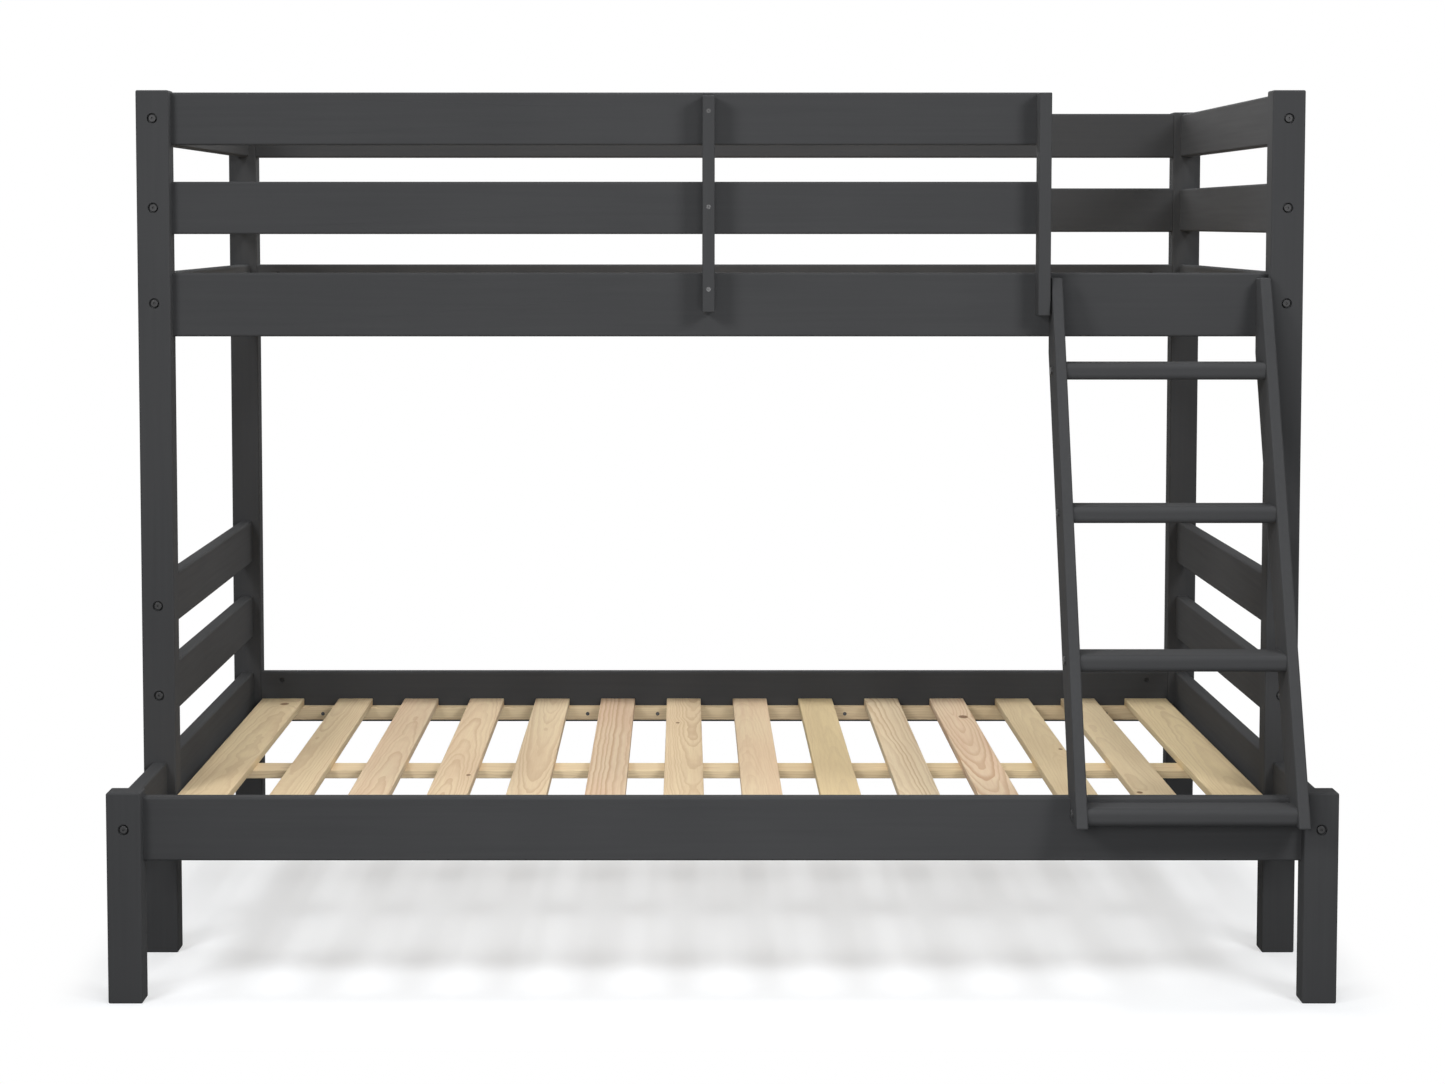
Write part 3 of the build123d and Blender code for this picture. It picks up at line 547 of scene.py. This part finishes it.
def fastener_tree():
    """Bolts or screws with a round, recessed head, on points that carry an axis and a length."""
    group, t, given, result = new_group(
        "fasteners", "GeometryNodeTree",
        [
            ("Geometry", "NodeSocketGeometry", None),
            ("Head Radius", "NodeSocketFloat", 0.0065),
            ("Neck Radius", "NodeSocketFloat", 0.0065),
            ("Head Height", "NodeSocketFloat", 0.0025),
            ("Crown Height", "NodeSocketFloat", 0.001),
            ("Crown Share", "NodeSocketFloat", 0.84),
            ("Recess Sides", "NodeSocketFloat", 6.0),
            ("Recess Reach", "NodeSocketFloat", 0.0023),
            ("Recess Waist", "NodeSocketFloat", 0.002),
            ("Recess Depth", "NodeSocketFloat", 0.002),
            ("Shank Radius", "NodeSocketFloat", 0.003),
            ("Metal", "NodeSocketMaterial", None),
        ],
        [("Geometry", "NodeSocketGeometry")],
    )
    head_sides = 24
    shank_sides = 16
    # The crown's rounding, as shares of its rise and of its spread
    crown_steps = ((0.45, 0.15), (0.35, 0.35), (0.20, 0.50))
    recess_floor = 0.85
    shank_start = -1.1
    place = t.add("GeometryNodeInputPosition").outputs[0]

    def raised(mesh, face, rise):
        lift = {"Mesh": mesh, "Selection": face, "Offset": (0.0, 0.0, 1.0), "Offset Scale": rise}
        node = t.add("GeometryNodeExtrudeMesh", lift)
        node.inputs["Individual"].default_value = False
        return node.outputs["Mesh"], node.outputs["Top"]

    def drawn_in(mesh, face, share):
        spread = t.vector("MULTIPLY", place, t.combine(share, share, 1.0))
        return t.moved(mesh, Selection=face, Position=spread)

    cone = t.add(
        "GeometryNodeMeshCone",
        {
            "Vertices": head_sides,
            "Radius Top": given["Head Radius"],
            "Radius Bottom": given["Neck Radius"],
            "Depth": given["Head Height"],
        },
        fill_type="NGON",
    )
    mesh, face = cone.outputs["Mesh"], cone.outputs["Top"]
    for rise_share, spread_share in crown_steps:
        mesh, face = raised(mesh, face, t.math("MULTIPLY", given["Crown Height"], rise_share))
        inward = t.math("MULTIPLY", t.math("SUBTRACT", 1.0, given["Crown Share"]), spread_share)
        mesh = drawn_in(mesh, face, t.math("SUBTRACT", 1.0, inward))
    mesh, face = raised(mesh, face, 0.0)
    x, y, z = t.split(place)
    angle = t.math("ARCTAN2", y, x)
    wave = t.math("COSINE", t.math("MULTIPLY", angle, given["Recess Sides"]))
    lobe = t.math("MULTIPLY_ADD", wave, 0.5, 0.5)
    reach = t.math("SUBTRACT", given["Recess Reach"], given["Recess Waist"])
    outline = t.math("MULTIPLY_ADD", t.math("POWER", lobe, 2.0), reach, given["Recess Waist"])
    rim_x = t.math("MULTIPLY", outline, t.math("COSINE", angle))
    rim_y = t.math("MULTIPLY", outline, t.math("SINE", angle))
    mesh = t.moved(mesh, Selection=face, Position=t.combine(rim_x, rim_y, z))
    mesh, face = raised(mesh, face, t.math("MULTIPLY", given["Recess Depth"], -1.0))
    mesh = drawn_in(mesh, face, recess_floor)
    drop = t.math("MULTIPLY", t.math("ADD", given["Head Height"], given["Crown Height"]), -1.0)
    head = t.add("GeometryNodeTransform", {"Geometry": mesh, "Translation": t.combine(0.0, 0.0, drop)})

    axis = named(t, "axis", "FLOAT_VECTOR")
    turned = t.add("FunctionNodeAlignRotationToVector", {"Vector": axis}, axis="Z").outputs[0]
    headed = named(t, "headed")
    heads = t.add(
        "GeometryNodeInstanceOnPoints",
        {
            "Points": given["Geometry"],
            "Selection": headed,
            "Instance": head.outputs[0],
            "Rotation": turned,
        },
    )
    shank = {"Vertices": shank_sides, "Radius": given["Shank Radius"], "Depth": 1.0}
    rod = t.add("GeometryNodeMeshCylinder", shank, fill_type="NGON")
    rod = t.add("GeometryNodeTransform", {"Geometry": rod.outputs["Mesh"], "Translation": (0.0, 0.0, -0.5)})
    sunk = t.math("MULTIPLY", headed, t.math("MULTIPLY", given["Recess Depth"], shank_start))
    length = t.math("ADD", named(t, "length"), sunk)
    along_axis = t.vector("MULTIPLY", axis, t.combine(sunk, sunk, sunk))
    starts = t.moved(given["Geometry"], Offset=along_axis)
    rods = t.add(
        "GeometryNodeInstanceOnPoints",
        {
            "Points": starts,
            "Instance": rod.outputs[0],
            "Rotation": turned,
            "Scale": t.combine(1.0, 1.0, length),
        },
    )
    both = t.add("GeometryNodeJoinGeometry")
    t.join(heads.outputs[0], both.inputs[0])
    t.join(rods.outputs[0], both.inputs[0])
    solid = t.add("GeometryNodeRealizeInstances", {"Geometry": both.outputs[0]})
    finished = t.add("GeometryNodeSetMaterial", {"Geometry": solid.outputs[0], "Material": given["Metal"]})
    t.join(finished.outputs[0], result["Geometry"])
    return group


def solids_of(node):
    """The points of each separate solid in a CAD node."""
    mesh = bmesh.new()
    mesh.from_mesh(nodes[node].data)
    bmesh.ops.remove_doubles(mesh, verts=mesh.verts, dist=same_place)
    solids, seen = [], set()
    for start in mesh.verts:
        if start in seen:
            continue
        solid, edge = [], [start]
        seen.add(start)
        while edge:
            vert = edge.pop()
            solid.append(vert.co.copy())
            for spoke in vert.link_edges:
                other = spoke.other_vert(vert)
                if other not in seen:
                    seen.add(other)
                    edge.append(other)
        solids.append(solid)
    mesh.free()
    return solids


def corners(points):
    """The lowest and highest corner of the box around some points."""
    low = Vector([min(point[axis] for point in points) for axis in range(3)])
    high = Vector([max(point[axis] for point in points) for axis in range(3)])
    return low, high


def fastener_points(node):
    """Head place, outward axis, length and whether it has a head, for each bolt or screw of a CAD node."""
    places, axes, lengths, headed = [], [], [], []
    for solid in solids_of(node):
        low, high = corners(solid)
        along = max(range(3), key=lambda axis: high[axis] - low[axis])
        centre = (low + high) / 2

        def girth(end):
            near = [point for point in solid if abs(point[along] - end) < end_zone]
            return max((point - centre)[(along + 1) % 3] for point in near)

        ends = (girth(low[along]), girth(high[along]))
        facing = 1 if ends[1] >= ends[0] else -1
        axis = Vector((0, 0, 0))
        axis[along] = facing
        place = centre.copy()
        place[along] = high[along] if facing > 0 else low[along]
        places.append(place)
        axes.append(tuple(axis))
        lengths.append(high[along] - low[along])
        headed.append(float(abs(ends[1] - ends[0]) > least_head))
    return places, {"axis": axes, "length": lengths, "headed": headed}


def slat_points(boxes, width, sawing, knots):
    """The middle of each slat, and the wood that it carries."""
    places = [(low + high) / 2 for low, high in boxes]
    return places, {
        "breadth": [(high.x - low.x) / width for low, high in boxes],
        "board": list(range(len(boxes))),
        "sawn": [(x * mm, depth * mm, lean * mm) for x, depth, lean, ring, *hue in sawing],
        "ring_width": [ring * mm for x, depth, lean, ring, *hue in sawing],
        "hue": [tuple(hue) for x, depth, lean, ring, *hue in sawing],
        "knot": [tuple(size * mm for size in knots.get(board, (0, 0, 0))) for board in range(len(boxes))],
    }


def dress(piece, material):
    """Gives a CAD node its finish."""
    for slot in nodes[piece].material_slots:
        slot.material = material


# Finishes
film = paint_film_group()
figure = pine_figure_group()
paint_across = painted_timber("paint on rails", film, along_x)
paint_upright = painted_timber("paint on posts", film, upright)
paint_endways = painted_timber("paint on end rails", film, (0, 0, 0))
paint_leaning = painted_timber("paint on stiles", film, leaning)
slat_pine = bare_pine("slat pine", figure)
batten_front_pine, batten_rear_pine, strip_pine = (
    bare_pine(name, figure, joined) for name, joined in batten_boards.items()
)
black_bolts = blackened_steel("blackened bolt steel", (0.020, 0.020, 0.021), (0.034, 0.034, 0.035), 0.3, 0.45)
# Barrel nuts: blackened steel taken down to near black, painted shade that makes each sunk nut read as the
# dark hole of its bore
nuts_painted_bore_shade = blackened_steel("nut steel with painted bore shade", (0.005, 0.005, 0.005), (0.009, 0.009, 0.009), 0.0, 0.6)
dark_zinc = blackened_steel("dark screw steel", (0.060, 0.060, 0.062), (0.10, 0.10, 0.10), 0.8, 0.4)

for name in nodes:
    if "post" in name or "leg" in name or "upright" in name:
        dress(name, paint_upright)
    elif "end_rail" in name or "link_rail" in name:
        dress(name, paint_endways)
    elif "stile" in name:
        dress(name, paint_leaning)
    elif "rail" in name or "tread" in name:
        dress(name, paint_across)
dress("lower_batten_front", batten_front_pine)
dress("upper_batten_front", batten_front_pine)
dress("lower_batten_rear", batten_rear_pine)
dress("upper_batten_rear", batten_rear_pine)
dress("lower_slat_strip", strip_pine)
dress("barrel_nuts", nuts_painted_bore_shade)
dress("dowels", strip_pine)

# Slats of both berths
slat_tree = slat_row_tree()
slat_count = len(board_sawing)
slat_names = [f"lower_slat_{number + 1:02d}" for number in range(slat_count)]
lower_boxes = [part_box(name) for name in slat_names]
low, high = lower_boxes[1]
slat_width = high.x - low.x
sizes = {
    "Width": slat_width,
    "Thickness": high.z - low.z,
    "Length": high.y - low.y,
    "Seed": 5,
    "Wood": slat_pine,
}
lower_points = slat_points(lower_boxes, slat_width, board_sawing, board_knots)
lower_slats = grow("lower_slats", *lower_points, slat_tree, sizes)
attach(lower_slats, "root")
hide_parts(*slat_names)

upper_boxes = sorted((corners(solid) for solid in solids_of("upper_slats")), key=lambda box: box[0].x)
low, high = upper_boxes[1]
sizes = {**sizes, "Length": high.y - low.y, "Seed": 11}
# The upper boards take the lower ones' sawing in another order
upper_sawing = [board_sawing[(index * 5 + 3) % slat_count] for index in range(slat_count)]
upper_points = slat_points(upper_boxes, slat_width, upper_sawing, {})
upper_slats = grow("upper_slat_boards", *upper_points, slat_tree, sizes)
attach(upper_slats, "root")
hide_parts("upper_slats")

# Bolts and screws
fasteners = fastener_tree()
bolts = grow("bolts", *fastener_points("frame_bolts"), fasteners, {"Metal": black_bolts})
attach(bolts, "root")
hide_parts("frame_bolts")
screw_sizes = {
    "Head Radius": 3.8 * mm,
    "Neck Radius": 1.8 * mm,
    "Head Height": 2.2 * mm,
    "Crown Height": 0.1 * mm,
    "Crown Share": 0.97,
    "Recess Sides": 4.0,
    "Recess Reach": 2.2 * mm,
    "Recess Waist": 0.7 * mm,
    "Recess Depth": 1.6 * mm,
    "Shank Radius": 1.8 * mm,
    "Metal": dark_zinc,
}
wood_screws = grow("wood_screws", *fastener_points("screws"), fasteners, screw_sizes)
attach(wood_screws, "root")
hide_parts("screws")


def white_to_the_eye(t):
    """One where a ray comes from the camera, a mirror or through glass."""
    path = t.add("ShaderNodeLightPath").outputs
    seen = t.math("MAXIMUM", path["Is Camera Ray"], path["Is Glossy Ray"])
    return t.math("MAXIMUM", seen, path["Is Transmission Ray"])


def pale_floor():
    """A white floor that keeps the bed's shadow and turns plain white away from it."""
    mesh = bpy.data.meshes.new("studio_floor")
    rim = [(x * floor_reach, y * floor_reach, 0) for x, y in ((-1, -1), (1, -1), (1, 1), (-1, 1))]
    mesh.from_pydata(rim, [], [(0, 1, 2, 3)])
    floor = link("studio_floor", mesh)
    material = bpy.data.materials.new("studio floor")
    material.use_nodes = True
    material.node_tree.nodes.clear()
    t = Tree(material.node_tree)
    bounce = t.add("ShaderNodeBsdfDiffuse", {"Color": floor_bounce}).outputs[0]
    shaded = t.add("ShaderNodeBsdfDiffuse", {"Color": floor_shaded}).outputs[0]
    lifted = t.add("ShaderNodeEmission", {"Color": (1, 1, 1, 1), "Strength": floor_lift}).outputs[0]
    white = t.add("ShaderNodeEmission", {"Color": (1, 1, 1, 1), "Strength": 1.0}).outputs[0]
    seen = t.add("ShaderNodeAddShader", {0: shaded, 1: lifted}).outputs[0]
    x, y, z = t.split(t.add("ShaderNodeTexCoord").outputs["Object"])
    beside = t.math("MAXIMUM", t.math("SUBTRACT", t.math("ABSOLUTE", x), shadow_half_length), 0.0)
    before = t.math("MAXIMUM", t.math("SUBTRACT", t.math("ABSOLUTE", y), shadow_half_depth), 0.0)
    distance = t.vector("LENGTH", t.combine(t.math("MULTIPLY", beside, end_fade_share), before))
    away = t.between(distance, 0.0, shadow_fade)
    seen = t.add("ShaderNodeMixShader", {0: away, 1: seen, 2: white}).outputs[0]
    surface = t.add("ShaderNodeMixShader", {0: white_to_the_eye(t), 1: bounce, 2: seen}).outputs[0]
    t.join(surface, t.add("ShaderNodeOutputMaterial").inputs["Surface"])
    mesh.materials.append(material)


def studio_world():
    """An even white surround that lights the bed more gently than it shows."""
    world = bpy.data.worlds.new("studio")
    bpy.context.scene.world = world
    world.use_nodes = True
    t = Tree(world.node_tree)
    background = world.node_tree.nodes["Background"]
    background.inputs["Color"].default_value = (1, 1, 1, 1)
    strength = t.between(white_to_the_eye(t), 0.0, 1.0, ambient_light, 1.0, "LINEAR")
    t.join(strength, background.inputs["Strength"])


def softbox(name, place, aim, width, height, power):
    light = bpy.data.lights.new(name, "AREA")
    light.shape, light.size, light.size_y, light.energy = "RECTANGLE", width, height, power
    lamp = bpy.data.objects.new(name, light)
    bpy.context.scene.collection.objects.link(lamp)
    lamp.location = place
    lamp.rotation_euler = (Vector(aim) - Vector(place)).to_track_quat("-Z", "Y").to_euler()


def photograph_camera():
    lens = bpy.data.cameras.new("camera")
    lens.sensor_fit = "HORIZONTAL"
    lens.sensor_width = sensor_width
    lens.lens = focal_length / image_width * sensor_width
    lens.shift_x = (image_width / 2 - sight_line[0]) / image_width
    lens.shift_y = (sight_line[1] - image_height / 2) / image_width
    camera = bpy.data.objects.new("camera", lens)
    bpy.context.scene.collection.objects.link(camera)
    camera.location = camera_place
    tilt = atan((sight_line[1] - horizon_row) / focal_length)
    camera.rotation_euler = (radians(90) - tilt, 0, 0)
    bpy.context.scene.camera = camera


pale_floor()
studio_world()
for lamp in softboxes:
    softbox(*lamp)
photograph_camera()
bpy.context.scene.view_settings.view_transform = "Standard"
